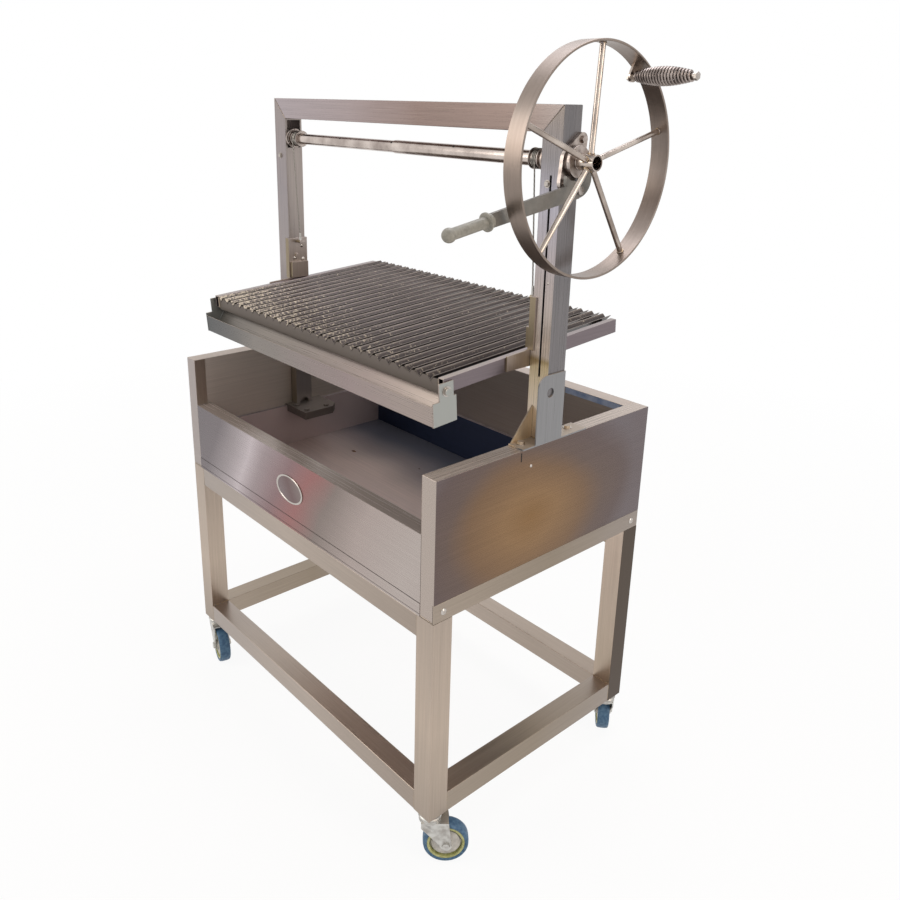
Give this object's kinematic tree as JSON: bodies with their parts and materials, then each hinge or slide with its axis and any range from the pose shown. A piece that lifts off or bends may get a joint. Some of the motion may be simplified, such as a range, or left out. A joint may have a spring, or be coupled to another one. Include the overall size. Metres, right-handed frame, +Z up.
{
  "type": "argentine grill",
  "caption": "Wheeled steel charcoal grill whose tilted V-bar grate is raised on cables by a side hand wheel, with brake lever, drip gutter and open firebox on a tube stand.",
  "frame": {"origin": "on the floor, below the middle of the overall box at rest", "axes": "+Z up, +X to the hand wheel's side, -Y to the front where the cook stands"},
  "size_m": [1.183, 0.7098, 1.68],
  "materials": {
    "steel": "brushed, warm grey",
    "inner_steel": "dull, heat-darkened",
    "bright_steel": "turned and polished",
    "cable": "stranded",
    "zinc": "zinc-plated, matt",
    "tyre": "blue elastic rubber on a green-yellow rim",
    "lever_paint": "grey-green hammered paint",
    "grip": "grey-green, smooth",
    "lining": "moulded friction lining"
  },
  "bodies": {
    "frame": {"leg_front_left": "steel", "leg_front_right": "steel", "leg_back_left": "steel", "leg_back_right": "steel", "low_rail_front": "steel", "low_rail_back": "steel", "low_rail_left": "steel", "low_rail_right": "steel", "top_rail_front": "steel", "top_rail_back": "steel", "side_angle_left": "steel", "side_angle_right": "steel", "caster_head_front_left": "zinc", "caster_head_front_right": "zinc", "caster_head_back_left": "zinc", "caster_head_back_right": "zinc", "wall_left": "steel", "wall_right": "steel", "wall_back": "steel", "front_panel": "steel", "floor_tray": "inner_steel", "lower_liner": "inner_steel", "badge_plate": "bright_steel", "lift_beam": "steel", "post_left": "steel", "post_right": "steel", "post_bracket_left": "steel", "post_bracket_right": "steel", "foot_plate_left": "inner_steel", "foot_plate_right": "inner_steel", "bearing_left": "bright_steel", "bearing_right": "bright_steel", "cable_left": "cable", "cable_right": "cable", "flange_bearing": "steel", "lever_pivot_bolt": "bright_steel"},
    "cradle": {"carriage_left": "steel", "carriage_right": "steel", "cradle_rail_left": "steel", "cradle_rail_right": "steel", "grate": "steel", "drip_gutter": "steel"},
    "shaft": {"lift_shaft": "bright_steel", "drum_left": "bright_steel", "drum_right": "bright_steel", "brake_disc": "bright_steel", "hand_wheel": "steel", "grip_bolt": "bright_steel"},
    "spring_grip": {"grip_spring": "bright_steel"},
    "brake": {"brake_lever": "lever_paint", "brake_shoe": "lining", "lever_grip": "grip"},
    "fork_front_left": {"caster_fork_front_left": "zinc"},
    "wheel_front_left": {"caster_wheel_front_left": "tyre"},
    "fork_front_right": {"caster_fork_front_right": "zinc"},
    "wheel_front_right": {"caster_wheel_front_right": "tyre"},
    "fork_back_left": {"caster_fork_back_left": "zinc"},
    "wheel_back_left": {"caster_wheel_back_left": "tyre"},
    "fork_back_right": {"caster_fork_back_right": "zinc"},
    "wheel_back_right": {"caster_wheel_back_right": "tyre"}
  },
  "joints": [
    {"name": "grate_lift", "type": "slide", "parent": "frame", "child": "cradle", "axis": [0, 0, 1], "range_m": [-0.14, 0.2], "deforming": ["cable_left", "cable_right"]},
    {"name": "shaft_turn", "type": "hinge", "parent": "frame", "child": "shaft", "pos_m": [-0.08805, -0.0249, 1.47], "axis": [1, 0, 0], "range_deg": [-640, 450]},
    {"name": "grip_spin", "type": "hinge", "parent": "shaft", "child": "spring_grip", "pos_m": [0.52195, 0.08501, 1.62129], "axis": [1, 0, 0], "continuous": true},
    {"name": "brake_release", "type": "hinge", "parent": "frame", "child": "brake", "pos_m": [0.42845, -0.0209, 1.418], "axis": [-1, 0, 0], "range_deg": [0, 12]},
    {"name": "swivel_front_left", "type": "hinge", "parent": "frame", "child": "fork_front_left", "pos_m": [-0.56305, -0.3179, 0.115], "axis": [0, 0, 1], "continuous": true},
    {"name": "roll_front_left", "type": "hinge", "parent": "fork_front_left", "child": "wheel_front_left", "pos_m": [-0.52924, -0.32696, 0.05], "axis": [0.2588, 0.9659, 0], "continuous": true},
    {"name": "swivel_front_right", "type": "hinge", "parent": "frame", "child": "fork_front_right", "pos_m": [0.38695, -0.3179, 0.115], "axis": [0, 0, 1], "continuous": true},
    {"name": "roll_front_right", "type": "hinge", "parent": "fork_front_right", "child": "wheel_front_right", "pos_m": [0.40945, -0.29109, 0.05], "axis": [-0.766, 0.6428, 0], "continuous": true},
    {"name": "swivel_back_left", "type": "hinge", "parent": "frame", "child": "fork_back_left", "pos_m": [-0.56305, 0.2821, 0.115], "axis": [0, 0, 1], "continuous": true},
    {"name": "roll_back_left", "type": "hinge", "parent": "fork_back_left", "child": "wheel_back_left", "pos_m": [-0.53438, 0.30217, 0.05], "axis": [-0.5736, 0.8192, 0], "continuous": true},
    {"name": "swivel_back_right", "type": "hinge", "parent": "frame", "child": "fork_back_right", "pos_m": [0.38695, 0.2821, 0.115], "axis": [0, 0, 1], "continuous": true},
    {"name": "roll_back_right", "type": "hinge", "parent": "fork_back_right", "child": "wheel_back_right", "pos_m": [0.36399, 0.30851, 0.05], "axis": [-0.7547, -0.6561, 0], "continuous": true}
  ],
  "couplings": [
    {"joint": "shaft_turn", "follows": "grate_lift", "rad_per_m": -54.348}
  ]
}
